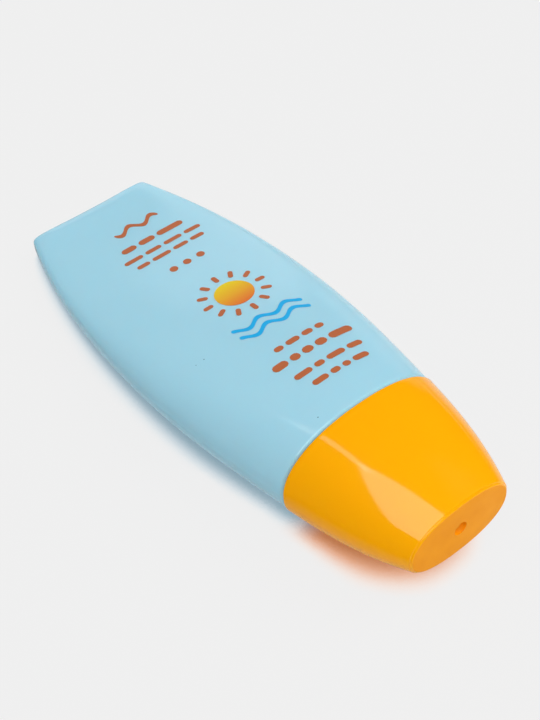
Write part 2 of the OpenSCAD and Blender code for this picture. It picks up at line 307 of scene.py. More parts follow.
def bottle_rings():
    """From the base over the outside to the neck, and down the inside."""
    rings = [(oval(h, i), h) for h, i in arc(BASE_ROUND, EDGE_STEPS)]
    heights = list(np.linspace(BASE_ROUND, NOSE_LENGTH, NOSE_RINGS)[1:])
    heights += list(np.linspace(NOSE_LENGTH, SHOULDER - SHOULDER_ROUND, BODY_RINGS)[1:])
    rings += [(with_parting_line(oval(h)), h) for h in heights]
    rings += [(oval(SHOULDER + h, i), SHOULDER + h)
              for h, i in arc(SHOULDER_ROUND, EDGE_STEPS, rising=False)[1:]]
    rings.append((disc(NECK_RADIUS + NECK_FOOT + SHOULDER_FLAT), SHOULDER))
    rings += [(disc(NECK_RADIUS + i), SHOULDER + h) for h, i in arc(NECK_FOOT, FOOT_STEPS)]
    rings += [(disc(NECK_RADIUS), NECK_TOP - NECK_EDGE),
              (disc(NECK_RADIUS - NECK_EDGE), NECK_TOP),
              (disc(NECK_BORE), NECK_TOP),
              (disc(NECK_BORE), SHOULDER - SHOULDER_WALL)]
    rings += [(oval(h, BOTTLE_WALL), h)
              for h in np.linspace(SHOULDER - SHOULDER_WALL, BASE_WALL, INSIDE_RINGS)]
    return rings


bm = bmesh.new()
skin_from_rings(bm, bottle_rings())
bottle_skin = piece("bottle_skin", bm, "bottle")
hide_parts("bottle_shell")

# %% [markdown]
# ## The neck's threads
#
# The cap is held by two threads that start on opposite sides. A thread could be a curve with a
# bevel, but a curve's profile can twist on a helix. The spin operator sweeps one small profile
# round the neck and climbs a little with each step, and the profile stays upright. Near its
# ends a moulded thread runs down into the neck.

# %% Thread ridges
THREAD_LEAD, THREAD_STARTS, THREAD_TURNS = 4.0 * MM, 2, 1.25
THREAD_DEPTH, THREAD_FOOT, THREAD_CREST = 0.7 * MM, 0.85 * MM, 0.4 * MM
THREAD_FROM_RIM, THREAD_SUNK, THREAD_END_SUNK = 1.2 * MM, 0.3 * MM, 0.05 * MM
THREAD_STEPS, THREAD_FADE_RATE, FIRST_START = 120, 6, -0.25
thread_rise = THREAD_LEAD * THREAD_TURNS
thread_low = NECK_TOP - THREAD_FROM_RIM - thread_rise - THREAD_FOOT / 2


def thread_ridge(bm, start_turn):
    """One thread that starts the given share of a turn round the neck."""
    sunk = NECK_RADIUS - THREAD_SUNK
    profile = ((sunk, -THREAD_FOOT / 2), (NECK_RADIUS + THREAD_DEPTH, -THREAD_CREST / 2),
               (NECK_RADIUS + THREAD_DEPTH, THREAD_CREST / 2), (sunk, THREAD_FOOT / 2))
    turn = Matrix.Rotation(2 * math.pi * start_turn, 3, "Z")
    verts = [bm.verts.new(turn @ Vector((r, 0, thread_low + z))) for r, z in profile]
    face = bm.faces.new(verts)
    before = set(bm.verts) - set(verts)
    bmesh.ops.spin(bm, geom=[face], cent=(0, 0, 0), axis=(0, 0, 1),
                   dvec=(0, 0, thread_rise / THREAD_STEPS), angle=2 * math.pi * THREAD_TURNS,
                   steps=THREAD_STEPS, use_merge=False, use_normal_flip=False, use_duplicate=False)
    for v in set(bm.verts) - before:
        radius = math.hypot(v.co.x, v.co.y)
        if radius > NECK_RADIUS:
            along = (v.co.z - thread_low) / thread_rise
            fade = max(0.0, min(1.0, THREAD_FADE_RATE * along, THREAD_FADE_RATE * (1 - along)))
            wanted = NECK_RADIUS + THREAD_DEPTH * fade - THREAD_END_SUNK * (1 - fade)
            v.co.x *= wanted / radius
            v.co.y *= wanted / radius


bm = bmesh.new()
for start in range(THREAD_STARTS):
    thread_ridge(bm, start / THREAD_STARTS + FIRST_START)
bmesh.ops.recalc_face_normals(bm, faces=bm.faces)
neck_thread = piece("neck_thread", bm, "bottle", smooth_angle=30)

# %% [markdown]
# ## The cap
#
# The outer cap is a drawn-in oval shell with a flat matt end. In the middle of that end is the
# moulding recess: a shallow round hole with the stub that the gate left. The recess could be cut
# with a Boolean, which leaves ragged shading round the hole. As the last few rings of the skin,
# turned inwards, it stays part of one even mesh.

# %% Cap skin
RECESS_RADIUS, RECESS_DEPTH, RECESS_EDGE, RECESS_CHAMFER = 1.5 * MM, 1.0 * MM, 0.15 * MM, 0.1 * MM
STUB_RADIUS, STUB_HEIGHT, STUB_DRAFT, STUB_CHAMFER = 0.45 * MM, 0.45 * MM, 0.05 * MM, 0.1 * MM
END_BAND = 3 * MM
CEILING = LENGTH - END_WALL
CAP_INSIDE_RINGS, CAP_OUTSIDE_RINGS = 20, 40
RIM_STEPS, END_STEPS, RECESS_STEPS = 5, 6, 4


def proud(h):
    """How far the cap stands out past the bottle's outline, all at the rim, none at the end."""
    return CAP_PROUD * (LENGTH - h) / CAP_LENGTH


def cap_oval(h, inset=0.0):
    return oval(h, inset - proud(h))


def wall_rings():
    """From the ceiling down the inside, round the rim and up the outside to the flat end."""
    low, high = SEAM + RIM_ROUND, LENGTH - END_ROUND
    rings = [(cap_oval(h, CAP_WALL), h) for h in np.linspace(CEILING, low, CAP_INSIDE_RINGS)]
    rings.append((cap_oval(SEAM, CAP_WALL - RIM_ROUND / 2), SEAM + RIM_ROUND / 3))
    rings.append((cap_oval(SEAM, CAP_WALL - RIM_ROUND), SEAM))
    rings += [(cap_oval(SEAM, i), SEAM + h) for h, i in arc(RIM_ROUND, RIM_STEPS)]
    rings += [(cap_oval(h), h) for h in np.linspace(low, high, CAP_OUTSIDE_RINGS)[1:]]
    rings += [(cap_oval(LENGTH, i), LENGTH + h)
              for h, i in arc(END_ROUND, END_STEPS, rising=False)[1:]]
    return rings


def recess_rings():
    """From the flat end down into the recess and up to the top of its stub."""
    floor = LENGTH - RECESS_DEPTH
    rings = [(cap_oval(LENGTH, END_BAND), LENGTH)]
    rings += [(disc(RECESS_RADIUS + RECESS_EDGE - i), LENGTH - h)
              for h, i in arc(RECESS_EDGE, RECESS_STEPS)]
    rings += [(disc(RECESS_RADIUS - RECESS_CHAMFER), floor + RECESS_CHAMFER),
              (disc(RECESS_RADIUS - 2 * RECESS_CHAMFER), floor),
              (disc(STUB_RADIUS), floor),
              (disc(STUB_RADIUS - STUB_DRAFT), floor + STUB_HEIGHT - STUB_CHAMFER),
              (disc(STUB_RADIUS - STUB_DRAFT - STUB_CHAMFER), floor + STUB_HEIGHT)]
    return rings


bm = bmesh.new()
skin_from_rings(bm, wall_rings() + recess_rings())
cap_skin = piece("cap_skin", bm, "cap", smooth_angle=35)
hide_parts("outer_cap")

# %% [markdown]
# ## The inside of the cap
#
# An oval skirt can't carry a thread, so a round socket inside the cap holds the threaded inner
# cap. It shows when the cap is off. It could be drawn with the shell, but a turned tube that
# runs a little way into the ceiling is simpler, and nobody sees where the two meet. Where the
# shell narrows, the tube is flattened so that it doesn't poke out.

# %% Socket inside the cap
SKIRT_RADIUS, PRESS, SOCKET_WALL = 7.6 * MM, 0.02 * MM, 1.0 * MM
SOCKET_RISE, SOCKET_SUNK, SOCKET_CHAMFER, SOCKET_RINGS = 1.9 * MM, 0.5 * MM, 0.2 * MM, 14
SOCKET_LOW, SOCKET_TOP = SHOULDER + SOCKET_RISE, CEILING + SOCKET_SUNK
bore, outer = SKIRT_RADIUS + PRESS, SKIRT_RADIUS + SOCKET_WALL


def turned(bm, outline, steps=96):
    """Spins a closed outline of (radius, height) points into a ring."""
    verts = [bm.verts.new((r, 0, z)) for r, z in outline]
    edges = [bm.edges.new((a, b)) for a, b in zip(verts, verts[1:] + verts[:1])]
    bmesh.ops.spin(bm, geom=verts + edges, cent=(0, 0, 0), axis=(0, 0, 1), dvec=(0, 0, 0),
                   angle=2 * math.pi, steps=steps, use_merge=True, use_normal_flip=False,
                   use_duplicate=False)
    bmesh.ops.remove_doubles(bm, verts=bm.verts, dist=1e-7)
    bmesh.ops.recalc_face_normals(bm, faces=bm.faces)


def keep_inside_shell(bm):
    """Flattens the socket where the narrowing shell cuts into it."""
    for v in bm.verts:
        limit = half_depth(v.co.z) + proud(v.co.z) - CAP_WALL / 2
        v.co.y = max(-limit, min(limit, v.co.y))


up = [(outer, h) for h in np.linspace(SOCKET_LOW, SOCKET_TOP, SOCKET_RINGS)]
down = [(bore, h) for h in np.linspace(SOCKET_TOP, SOCKET_LOW + SOCKET_CHAMFER, SOCKET_RINGS)]
bm = bmesh.new()
turned(bm, up + down + [(bore + SOCKET_CHAMFER, SOCKET_LOW)])
keep_inside_shell(bm)
cap_socket = piece("cap_socket", bm, "cap", smooth_angle=30)

# %% [markdown]
# ## Two ribs
#
# Between the socket and the narrow sides of the shell stand two thin ribs, which keep the shell
# from being squeezed flat. Each is a flat grid that is bent to the shell's outline and then
# given its thickness, which is simpler than trimming a block to the curve.

# %% Ribs inside the cap
RIB_THICK, RIB_LENGTH, RIB_SUNK, RIB_ROWS = 1.0 * MM, 11 * MM, 0.5 * MM, 12


def side_rib(bm, side):
    """A thin web from the socket to the narrow side of the shell."""
    made = bmesh.ops.create_grid(bm, x_segments=2, y_segments=RIB_ROWS, size=0.5)["verts"]
    for v in made:
        h = SOCKET_TOP - RIB_LENGTH * (0.5 - v.co.y)
        inner = outer - RIB_SUNK
        reach = half_width(h) + proud(h) - CAP_WALL + RIB_SUNK
        v.co = (side * (inner + (reach - inner) * (v.co.x + 0.5)), 0, h)


bm = bmesh.new()
for side in (1, -1):
    side_rib(bm, side)
bmesh.ops.solidify(bm, geom=bm.faces, thickness=RIB_THICK)
bmesh.ops.translate(bm, verts=bm.verts, vec=(0, RIB_THICK / 2, 0))
bmesh.ops.recalc_face_normals(bm, faces=bm.faces)
cap_ribs = piece("cap_ribs", bm, "cap", smooth_angle=30)

# %% [markdown]
# ## Printed marks
#
# The front is screen printed with plain marks: a small sun with rays over two waves, and rows of
# fine dashes. They could be painted by the bottle's own material, but a printed edge is crisp
# and an ink film has its own gloss. So each mark is a piece: a flat shape, made of a disc or of
# a grid that is drawn out into a stroke.

# %% Flat shapes to print
ROUND_SHARE = 0.3


def stroke(bm, length, thick, wave=0.0, waves=1, columns=28, rows=4):
    """A bar with round ends, drawn flat about the origin; wave bends its middle line."""
    made = bmesh.ops.create_grid(bm, x_segments=columns, y_segments=rows, size=1)["verts"]
    radius = thick / 2
    straight = length / 2 - radius
    for v in made:
        reach = abs(v.co.x)
        turn = max(0.0, reach - 1 + ROUND_SHARE) / ROUND_SHARE * math.pi / 2
        x = min(1.0, reach / (1 - ROUND_SHARE)) * straight + radius * math.sin(turn)
        x = math.copysign(x, v.co.x)
        y = v.co.y * radius * math.cos(turn) + wave * math.sin(2 * math.pi * waves * x / length)
        v.co = (x, y, 0)
    bmesh.ops.remove_doubles(bm, verts=made, dist=1e-7)


def round_patch(bm, radius, rings=8, sides=64):
    """A filled disc made of rings, so that it can bend."""
    edges = edges_of(bmesh.ops.create_circle(bm, segments=sides, radius=radius)["verts"])
    for k in range(1, rings):
        verts, edges = next_ring(bm, edges)
        for v in verts:
            v.co *= (rings - k) / (rings - k + 1)
    bmesh.ops.edgeloop_fill(bm, edges=edges)


def placed(bm, draw, across, along, angle=0.0):
    """Draws a shape, turns it and moves it: across the width, and along from the base."""
    before = set(bm.verts)
    draw()
    fresh = [v for v in bm.verts if v not in before]
    bmesh.ops.rotate(bm, verts=fresh, cent=(0, 0, 0), matrix=Matrix.Rotation(angle, 3, "Z"))
    bmesh.ops.translate(bm, verts=fresh, vec=(across, along, 0))


print("the round ends take", ROUND_SHARE, "of a stroke's columns")

# %% [markdown]
# ## Onto the front
#
# Ink follows the face that it is printed on. A Shrinkwrap modifier could press the shapes onto
# the bottle, but the outline's formula gives the front's depth at any place exactly. The film
# sits a hair above the skin and reaches a little way into it, so that no gap shows at its edge.

# %% Print flat shapes on the front
INK_LIFT, INK_DEPTH = 0.02 * MM, 0.05 * MM
NEARLY_THE_SIDE = 0.999


def front_depth(w, h):
    """Depth of the front face at width w and height h."""
    n = oval_power(h)
    q = min(NEARLY_THE_SIDE, abs(w) / half_width(h)) ** n
    return half_depth(h) * (1 - q) ** (1 / n)


def print_on_front(name, bm):
    """Bends flat shapes, drawn as (across, along), onto the front and thickens them to a film."""
    for v in bm.verts:
        w, h = v.co.x, v.co.y
        v.co = (w, front_depth(w, h) + INK_LIFT, h)
    bmesh.ops.recalc_face_normals(bm, faces=bm.faces)
    if sum(f.normal.y for f in bm.faces) > 0:
        bmesh.ops.reverse_faces(bm, faces=bm.faces)
    bmesh.ops.solidify(bm, geom=bm.faces, thickness=INK_DEPTH)
    bmesh.ops.recalc_face_normals(bm, faces=bm.faces)
    obj = piece(name, bm, "bottle", smooth_angle=60)
    return obj


print("the front bulges", round(front_depth(0, BELLY) / MM, 1), "mm at the belly")

# %% [markdown]
# ## The sun over the waves
#
# The large mark in the middle is a filled sun with twelve short rays over two wavy strokes. Sun,
# rays and waves have inks of their own, so they are three pieces. A loop sets the rays round the
# sun, because equal steps are easier to count than to place by hand.

# %% Sun and waves
PRINT_ACROSS = 4 * MM
SUN_ALONG, SUN_RADIUS = 51 * MM, 4.3 * MM
RAYS, RAY_FROM, RAY_LENGTH, RAY_THICK = 12, 5.6 * MM, 2.4 * MM, 1.1 * MM
WAVE_LENGTH, WAVE_THICK, WAVE_HEIGHT, WAVE_COUNT = 17 * MM, 1.1 * MM, 0.8 * MM, 2.5
WAVES_ALONG = (62 * MM, 64.8 * MM)

bm = bmesh.new()
placed(bm, lambda: round_patch(bm, SUN_RADIUS), PRINT_ACROSS, SUN_ALONG)
print_sun = print_on_front("print_sun", bm)

bm = bmesh.new()
for k in range(RAYS):
    turn = 2 * math.pi * k / RAYS
    reach = RAY_FROM + RAY_LENGTH / 2
    placed(bm, lambda: stroke(bm, RAY_LENGTH, RAY_THICK, columns=16),
           PRINT_ACROSS + reach * math.cos(turn), SUN_ALONG + reach * math.sin(turn), turn)
print_rays = print_on_front("print_rays", bm)

bm = bmesh.new()
for along in WAVES_ALONG:
    placed(bm, lambda: stroke(bm, WAVE_LENGTH, WAVE_THICK, WAVE_HEIGHT, WAVE_COUNT, columns=90),
           PRINT_ACROSS, along)
print_waves = print_on_front("print_waves", bm)

# %% [markdown]
# ## Rows of dashes
#
# Fine marks in rows give the front its scale. Dashes that are placed one by one are slow to
# change, and even ones look like a grille, so their lengths are drawn by lot from a fixed seed.
# Three dots and one small wave break up the rows.

# %% Rows of dashes
DASH_ROWS = (
    # along, length, thickness, in millimetres
    (20.5, 16.5, 1.7),
    (24.6, 20.5, 1.2),
    (27.8, 18.0, 1.2),
    (72.2, 12.5, 1.4),
    (76.4, 20.0, 1.9),
    (81.2, 17.0, 1.4),
    (84.8, 14.0, 1.4),
)
SHORTEST_DASH, LONGEST_DASH, DASH_GAP = 1.8 * MM, 5.0 * MM, 0.8 * MM
LEAST_DASH_SHAPE = 1.2
DOTS, DOT_RADIUS, DOT_STEP, DOTS_ALONG = 3, 0.95 * MM, 3.6 * MM, 34 * MM
SMALL_WAVE_LENGTH, SMALL_WAVE_THICK, SMALL_WAVE_HEIGHT = 12 * MM, 1.3 * MM, 1.0 * MM
SMALL_WAVE_COUNT, SMALL_WAVE_ALONG = 2, 14 * MM
luck = random.Random(5)


def dash_row(bm, along, length, thick):
    """A row of dashes of uneven length."""
    across = PRINT_ACROSS - length / 2
    end = across + length
    while end - across > SHORTEST_DASH:
        dash = max(thick * LEAST_DASH_SHAPE, luck.uniform(SHORTEST_DASH, LONGEST_DASH))
        if end - across - dash < SHORTEST_DASH + DASH_GAP:
            dash = end - across
        placed(bm, lambda: stroke(bm, dash, thick, columns=16, rows=3), across + dash / 2, along)
        across += dash + DASH_GAP


bm = bmesh.new()
for along, length, thick in DASH_ROWS:
    dash_row(bm, along * MM, length * MM, thick * MM)
for k in range(DOTS):
    placed(bm, lambda: round_patch(bm, DOT_RADIUS, rings=3, sides=32),
           PRINT_ACROSS + (k - (DOTS - 1) / 2) * DOT_STEP, DOTS_ALONG)
placed(bm, lambda: stroke(bm, SMALL_WAVE_LENGTH, SMALL_WAVE_THICK, SMALL_WAVE_HEIGHT,
                          SMALL_WAVE_COUNT, columns=80), PRINT_ACROSS, SMALL_WAVE_ALONG)
print_rows = print_on_front("print_rows", bm)

# %% [markdown]
# ## Plastics
#
# A material is a small network of nodes: some make a pattern, some reshape it, and the shader
# turns it into a surface. Such a network could be drawn by hand in the editor. Written as short
# functions, each node is set up once and the recipes stay readable.

# %% Node helpers
def new_material(name):
    mat = bpy.data.materials.new(name)
    mat.use_nodes = True
    nodes = mat.node_tree.nodes
    shader = next(n for n in nodes if n.type == "BSDF_PRINCIPLED")
    return mat, nodes, mat.node_tree.links, shader


def noise(nodes, links, vector, size, detail):
    """Noise whose blobs measure about size."""
    node = nodes.new("ShaderNodeTexNoise")
    node.inputs["Scale"].default_value = 1 / size
    node.inputs["Detail"].default_value = detail
    links.new(vector, node.inputs["Vector"])
    return node.outputs["Fac"]


def bump(nodes, links, height, distance, normal=None):
    node = nodes.new("ShaderNodeBump")
    node.inputs["Strength"].default_value = 1
    node.inputs["Distance"].default_value = distance
    links.new(height, node.inputs["Height"])
    if normal:
        links.new(normal, node.inputs["Normal"])
    return node.outputs["Normal"]


def feed(links, value, socket):
    """Gives a socket a number, a colour or the output of another node."""
    if isinstance(value, bpy.types.NodeSocket):
        links.new(value, socket)
    elif isinstance(value, tuple):
        socket.default_value = (*value, 1)
    else:
        socket.default_value = value


def math_node(nodes, links, operation, *values):
    """A Math node of one or two values."""
    node = nodes.new("ShaderNodeMath")
    node.operation = operation
    for value, socket in zip(values, node.inputs):
        feed(links, value, socket)
    return node.outputs[0]


# %% Helpers that mix and remap
def mix(nodes, links, factor, first, second, kind="RGBA"):
    """Mixes two colours, or two numbers where kind is FLOAT."""
    node = nodes.new("ShaderNodeMix")
    node.data_type = kind
    links.new(factor, node.inputs["Factor"])
    feed(links, first, node.inputs["A"])
    feed(links, second, node.inputs["B"])
    return node.outputs["Result"]


def ramp_between(nodes, links, value, low, high, at_low=0.0, at_high=1.0, shape="SMOOTHSTEP"):
    """Runs from at_low to at_high while value goes from low to high."""
    node = nodes.new("ShaderNodeMapRange")
    node.interpolation_type = shape
    for name, number in (("From Min", low), ("From Max", high), ("To Min", at_low),
                         ("To Max", at_high)):
        node.inputs[name].default_value = number
    links.new(value, node.inputs["Value"])
    return node.outputs["Result"]


def colour_ramp(nodes, links, value, stops):
    """Runs through (position, colour) stops."""
    ramp = nodes.new("ShaderNodeValToRGB")
    elements = ramp.color_ramp.elements
    while len(elements) < len(stops):
        elements.new(0.5)
    for element, (position, colour) in zip(elements, stops):
        element.position = position
        element.color = (*colour, 1)
    links.new(value, ramp.inputs["Fac"])
    return ramp.outputs["Color"]


# %% [markdown]
# ## A builder for moulded plastics
#
# One builder serves all the plastics. No moulded surface is quite even, so the colour is mottled,
# the gloss swings a little, a slow ripple bends the reflections and a fine grain softens them.
# What sets the plastics apart is their colour, their gloss and the scale of that unevenness.
# Image textures could do this too, but these patterns need no unwrapping. They read Object
# coordinates, so they stay on the piece when the piece moves.

# %% A builder for moulded plastics
WEAR_SIZE, MOTTLE_SIZE = 5 * MM, 14 * MM
STREAK_SIZE, STREAK_STRETCH = 1.6 * MM, 14
SPECK_CELL, SPECK_RADIUS, SPECK_SHARE = 7 * MM, 0.16 * MM, 0.4


def specked(nodes, links, place, base, speck):
    """Adds a few dust specks: the middles of some cells of a coarse Voronoi pattern."""
    cells = nodes.new("ShaderNodeTexVoronoi")
    cells.inputs["Scale"].default_value = 1 / SPECK_CELL
    links.new(place, cells.inputs["Vector"])
    inside = math_node(nodes, links, "LESS_THAN", cells.outputs["Distance"],
                       SPECK_RADIUS / SPECK_CELL)
    split = nodes.new("ShaderNodeSeparateColor")
    links.new(cells.outputs["Color"], split.inputs["Color"])
    chosen = math_node(nodes, links, "LESS_THAN", split.outputs["Red"], SPECK_SHARE)
    return mix(nodes, links, math_node(nodes, links, "MULTIPLY", inside, chosen), base, speck)


def streaked(nodes, links, place, depth, normal):
    """Adds the faint streaks that molten plastic leaves as it flows along a mould."""
    stretch = nodes.new("ShaderNodeMapping")
    stretch.inputs["Scale"].default_value = (1 / STREAK_STRETCH, 1, 1)
    links.new(place, stretch.inputs["Vector"])
    flow = noise(nodes, links, stretch.outputs["Vector"], STREAK_SIZE, 3)
    return bump(nodes, links, flow, depth, normal)


def plastic(name, colour, darker, gloss, gloss_swing, ripple, ripple_size, grain, grain_size,
            mottle=MOTTLE_SIZE, ior=1.5, streak=0.0, speck=None, scatter=0.0,
            scatter_colour=(1, 1, 1), scatter_depth=1.2 * MM):
    """A moulded plastic: a mottled colour, an uneven gloss, a slow ripple and a fine grain."""
    mat, nodes, links, shader = new_material(name)
    place = nodes.new("ShaderNodeTexCoord").outputs["Object"]
    base = mix(nodes, links, noise(nodes, links, place, mottle, 3), colour, darker)
    if speck:
        base = specked(nodes, links, place, base, speck)
    links.new(base, shader.inputs["Base Color"])

    rough = ramp_between(nodes, links, noise(nodes, links, place, WEAR_SIZE, 4), 0, 1,
                         gloss - gloss_swing, gloss + gloss_swing, "LINEAR")
    links.new(rough, shader.inputs["Roughness"])

    normal = bump(nodes, links, noise(nodes, links, place, ripple_size, 1), ripple)
    if streak:
        normal = streaked(nodes, links, place, streak, normal)
    normal = bump(nodes, links, noise(nodes, links, place, grain_size, 2), grain, normal)
    links.new(normal, shader.inputs["Normal"])

    shader.inputs["IOR"].default_value = ior
    shader.inputs["Subsurface Weight"].default_value = scatter
    shader.inputs["Subsurface Radius"].default_value = scatter_colour
    shader.inputs["Subsurface Scale"].default_value = scatter_depth
    print(name, "with roughness", gloss, "and a grain of", round(grain_size / MM, 2), "mm")
    return mat


print("dust specks of", round(2 * SPECK_RADIUS / MM, 2), "mm in", SPECK_SHARE, "of the cells")

# %% [markdown]
# ## The bottle's blue and the cap's orange
#
# Blown polyethylene is a little cloudy: light goes in, scatters and comes out close by. A plain
# colour alone would look like painted china, so the blue plastic has some subsurface scatter,
# and a few dust specks on its soft gloss. The cap is moulded harder and glossier, with faint
# flow streaks along it. Its flat end is matt, so that end gets a plastic of its own.

# %% The outer plastics
bottle_blue = plastic("bottle_blue_plastic", (0.37, 0.665, 0.815), (0.355, 0.65, 0.805),
                      gloss=0.12, gloss_swing=0.02, ripple=0.05 * MM, ripple_size=22 * MM,
                      grain=0.0008 * MM, grain_size=0.35 * MM, speck=(0.09, 0.2, 0.28),
                      scatter=0.3, scatter_colour=(0.3, 0.8, 1.0), scatter_depth=3 * MM)
cap_orange = plastic("cap_orange_plastic", (1.0, 0.42, 0.001), (1.0, 0.405, 0.001),
                     gloss=0.09, gloss_swing=0.02, ripple=0.07 * MM, ripple_size=16 * MM,
                     grain=0.0006 * MM, grain_size=0.4 * MM, streak=0.006 * MM,
                     scatter=0.1, scatter_colour=(1.0, 0.35, 0.05))
cap_end_matt = plastic("cap_end_matt_plastic", (1.0, 0.385, 0.002), (0.87, 0.29, 0.001),
                       gloss=0.5, gloss_swing=0.08, ripple=0.01 * MM, ripple_size=8 * MM,
                       grain=0.008 * MM, grain_size=0.25 * MM, mottle=5 * MM, ior=1.22,
                       speck=(1.0, 0.55, 0.15))

# %% [markdown]
# ## The plastics inside
#
# The spout plug is undyed polyethylene, milky and satin. The threaded inner cap is white and a
# little harder, and the washer is a matt foam whose cells show as a coarse grain. They could
# share one white, but side by side under the lifted cap they would then look like one piece.

# %% The plastics inside
natural_plastic = plastic("natural_plastic", (0.82, 0.84, 0.8), (0.78, 0.8, 0.77),
                          gloss=0.38, gloss_swing=0.05, ripple=0.01 * MM, ripple_size=6 * MM,
                          grain=0.002 * MM, grain_size=0.3 * MM, scatter=0.25)
white_plastic = plastic("white_plastic", (0.86, 0.86, 0.84), (0.82, 0.82, 0.81),
                        gloss=0.32, gloss_swing=0.05, ripple=0.01 * MM, ripple_size=6 * MM,
                        grain=0.002 * MM, grain_size=0.3 * MM, scatter=0.1)
liner_foam = plastic("liner_foam", (0.84, 0.84, 0.81), (0.76, 0.76, 0.74),
                     gloss=0.75, gloss_swing=0.08, ripple=0.02 * MM, ripple_size=1.2 * MM,
                     grain=0.05 * MM, grain_size=0.25 * MM)

# %% [markdown]
# ## Inks
#
# Screen ink is a thin satin film that hides the plastic below. The terracotta and the blue are
# plain and use the plastics' builder with a finer grain. The sun shades from yellow to orange
# along the bottle. That could be a vertex colour, but a gradient node, stretched over the sun by
# a Mapping node, stays smooth at any size.

# %% Plain inks
INK_FILM = {"gloss": 0.38, "gloss_swing": 0.05, "ripple": 0.004 * MM, "ripple_size": 3 * MM,
            "grain": 0.002 * MM, "grain_size": 0.2 * MM}
ink_red = plastic("ink_terracotta", (0.49, 0.13, 0.04), (0.44, 0.11, 0.033), **INK_FILM)
ink_blue = plastic("ink_blue", (0.0, 0.4, 0.78), (0.0, 0.36, 0.74), **INK_FILM)

# %% Ink that shades from yellow to orange
SUN_SHADES = ((0, (0.78, 0.6, 0.0)), (1, (0.72, 0.13, 0.015)))


def sun_ink():
    mat, nodes, links, shader = new_material("ink_sun")
    centre = LAY_DOWN @ Vector((PRINT_ACROSS, front_depth(PRINT_ACROSS, SUN_ALONG), SUN_ALONG))
    mapping = nodes.new("ShaderNodeMapping")
    mapping.vector_type = "TEXTURE"
    mapping.inputs["Location"].default_value = centre - AXIS * SUN_RADIUS
    mapping.inputs["Scale"].default_value = (2 * SUN_RADIUS,) * 3
    links.new(nodes.new("ShaderNodeTexCoord").outputs["Object"], mapping.inputs["Vector"])
    gradient = nodes.new("ShaderNodeTexGradient")
    links.new(mapping.outputs["Vector"], gradient.inputs["Vector"])
    links.new(colour_ramp(nodes, links, gradient.outputs["Fac"], SUN_SHADES),
              shader.inputs["Base Color"])
    shader.inputs["Roughness"].default_value = INK_FILM["gloss"]
    return mat


ink_sun = sun_ink()
print(ink_sun.name, "shades over", round(2 * SUN_RADIUS / MM, 1), "mm")

# %% [markdown]
# ## Dressing the pieces
#
# Every piece and every CAD node gets its plastic or ink. The matt end of the cap belongs to the
# same moulding as its glossy sides, so it isn't a piece of its own: its faces are found by their
# height on the axis, with a hair's slack, and switched to the cap's second material.

# %% Dress every piece
for obj, *mats in (
    (bottle_skin, bottle_blue),
    (neck_thread, bottle_blue),
    (cap_skin, cap_orange, cap_end_matt),
    (cap_socket, cap_orange),
    (cap_ribs, cap_orange),
    (print_sun, ink_sun),
    (print_rays, ink_red),
    (print_waves, ink_blue),
    (print_rows, ink_red),
    (frame["nodes"]["bottle_shell"], bottle_blue),
    (frame["nodes"]["nozzle_plug"], natural_plastic),
    (frame["nodes"]["cap_liner"], liner_foam),
    (frame["nodes"]["inner_cap"], white_plastic),
    (frame["nodes"]["outer_cap"], cap_orange),
):
    obj.data.materials.clear()
    for mat in mats:
        obj.data.materials.append(mat)
    print(obj.name, "wears", [mat.name for mat in mats])

# %% The matt end of the cap
END_SLACK, RECESS_SLACK = 0.02 * MM, 0.1 * MM
matt_faces = 0
for face in cap_skin.data.polygons:
    height = (face.center - BASE_POINT).dot(AXIS)
    in_recess = (face.center - BASE_POINT - AXIS * height).length < RECESS_RADIUS + RECESS_EDGE
    lowest = LENGTH - RECESS_DEPTH - RECESS_SLACK if in_recess else LENGTH - END_SLACK
    if height > lowest:
        face.material_index = 1
        matt_faces += 1
print("matt faces on the cap's end:", matt_faces)

# %% [markdown]
# ## Camera
#
# The camera stands where the photograph's stood: above and in front of the cap, level with the
# horizon, close enough for the cap to look larger than the base. It could be moved about by hand
# until the pictures agree. It was worked out from the bottle's outline instead, as a direction
# round the bottle, a distance and a lens, all in the bottle's own frame.

# %% Camera
AZIMUTH, ELEVATION, ROLL = math.radians(54.89), math.radians(45.81), math.radians(-5.57)
DISTANCE = 262.9 * MM
LOOK_ALONG, LOOK_ACROSS = 65.27 * MM, 1.36 * MM
FOCAL_PIXELS, FRAME_PIXELS, SENSOR_MM = 1278.3, 720, 36
CLIP_NEAR, CLIP_FAR = 0.01, 20


def photo_camera():
    """Stands the camera in the bottle's frame; the roll undoes the bottle's own tilt."""
    back = Vector((math.sin(AZIMUTH) * math.cos(ELEVATION),
                   -math.cos(AZIMUTH) * math.cos(ELEVATION), math.sin(ELEVATION)))
    right = Vector((0, 0, 1)).cross(back).normalized()
    above = back.cross(right)
    turned_right = right * math.cos(ROLL) + above * math.sin(ROLL)
    turned_above = above * math.cos(ROLL) - right * math.sin(ROLL)
    spot = Vector((LOOK_ALONG, LOOK_ACROSS, 0)) + back * DISTANCE
    to_world = Matrix((AXIS, WIDE, FRONT)).transposed()
    columns = [to_world @ v for v in (turned_right, turned_above, back)]
    pose = Matrix(columns).transposed().to_4x4()
    pose.translation = BASE_POINT + to_world @ spot
    data = bpy.data.cameras.new("camera")
    data.sensor_width = SENSOR_MM
    data.lens = FOCAL_PIXELS / FRAME_PIXELS * SENSOR_MM
    data.clip_start, data.clip_end = CLIP_NEAR, CLIP_FAR
    camera = bpy.data.objects.new("camera", data)
    camera.matrix_world = pose
    bpy.context.scene.collection.objects.link(camera)
    bpy.context.scene.camera = camera
    print("lens in mm:", round(data.lens, 1), "camera at", [round(v, 3) for v in pose.translation])


photo_camera()

